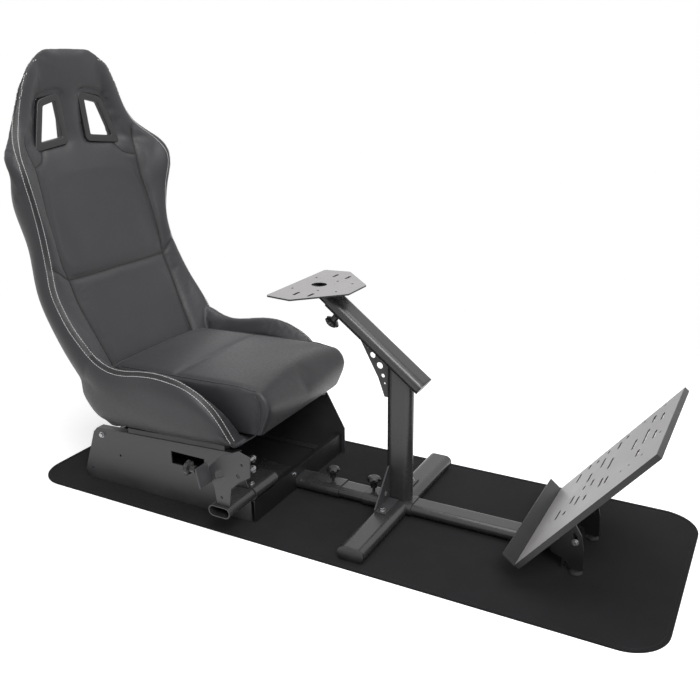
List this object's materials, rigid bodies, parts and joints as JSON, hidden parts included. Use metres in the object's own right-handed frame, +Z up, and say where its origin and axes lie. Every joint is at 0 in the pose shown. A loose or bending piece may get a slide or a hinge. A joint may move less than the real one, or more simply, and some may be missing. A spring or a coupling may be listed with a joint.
{
  "type": "sim racing cockpit",
  "caption": "Sim racing cockpit: upholstered bucket seat on a sheet-steel base, sliding rail, wheel stand with a telescoping arm and plate, tilting slotted pedal plate, floor mat.",
  "frame": {"origin": "middle of the floor mat's underside, on the floor", "axes": "+Z up, +Y from the pedals towards the seat, +X to the driver's left"},
  "size_m": [0.689, 1.7776, 1.169],
  "materials": {
    "felt": "matt",
    "frame_paint": "satin",
    "tube_paint": "satin",
    "plate_paint": "satin",
    "seat_cover": "fine grain",
    "black_plastic": "matt",
    "rubber_pad": "matt",
    "bright_bolt": "zinc plated"
  },
  "bodies": {
    "base": {"floor_mat": "felt", "base_side_right": "frame_paint", "base_side_left": "frame_paint", "base_front_panel": "frame_paint", "base_rear_panel": "frame_paint", "base_sleeve": "tube_paint", "sleeve_knob": "black_plastic", "seat_rail_right": "frame_paint", "seat_rail_left": "frame_paint", "seat_shell": "seat_cover", "seat_cushion": "seat_cover", "harness_bezel_right": "black_plastic", "harness_bezel_left": "black_plastic", "shifter_sleeve": "tube_paint"},
    "rail": {"rail_tube": "tube_paint", "pedal_cross_plate": "frame_paint", "pedal_leg_right": "frame_paint", "pedal_leg_left": "frame_paint", "pedal_foot_right": "rubber_pad", "pedal_foot_left": "rubber_pad"},
    "stand": {"stand_sleeve": "tube_paint", "stand_foot_right": "tube_paint", "stand_foot_left": "tube_paint", "foot_cap_right": "black_plastic", "foot_cap_left": "black_plastic", "stand_knob": "black_plastic", "column": "tube_paint", "column_brace_right": "frame_paint", "column_brace_left": "frame_paint", "arm_sleeve": "tube_paint", "arm_cap": "black_plastic", "arm_gusset": "frame_paint", "arm_knob": "black_plastic"},
    "wheel": {"wheel_tube": "tube_paint", "wheel_plate": "plate_paint"},
    "shifter": {"shifter_tube": "tube_paint", "shifter_bracket": "frame_paint", "shifter_knob": "black_plastic"},
    "pedals": {"pedal_plate": "plate_paint", "pedal_rim": "plate_paint", "heel_lip": "plate_paint", "pedal_ear_right": "frame_paint", "pedal_ear_left": "frame_paint", "pedal_pin_right": "bright_bolt", "pedal_pin_left": "bright_bolt"}
  },
  "joints": [
    {"name": "rail_slide", "type": "slide", "parent": "base", "child": "rail", "axis": [0, -1, 0], "range_m": [-0.03, 0.12]},
    {"name": "stand_slide", "type": "slide", "parent": "rail", "child": "stand", "axis": [0, -1, 0], "range_m": [-0.025, 0.1]},
    {"name": "wheel_slide", "type": "slide", "parent": "stand", "child": "wheel", "axis": [0, 0.7934, 0.6088], "range_m": [-0.012, 0.1]},
    {"name": "shifter_slide", "type": "slide", "parent": "base", "child": "shifter", "axis": [-1, 0, 0], "range_m": [-0.03, 0.05]},
    {"name": "pedal_tilt", "type": "hinge", "parent": "rail", "child": "pedals", "pos_m": [0, -0.594, 0.089], "axis": [1, 0, 0], "range_deg": [-14, 8]}
  ]
}
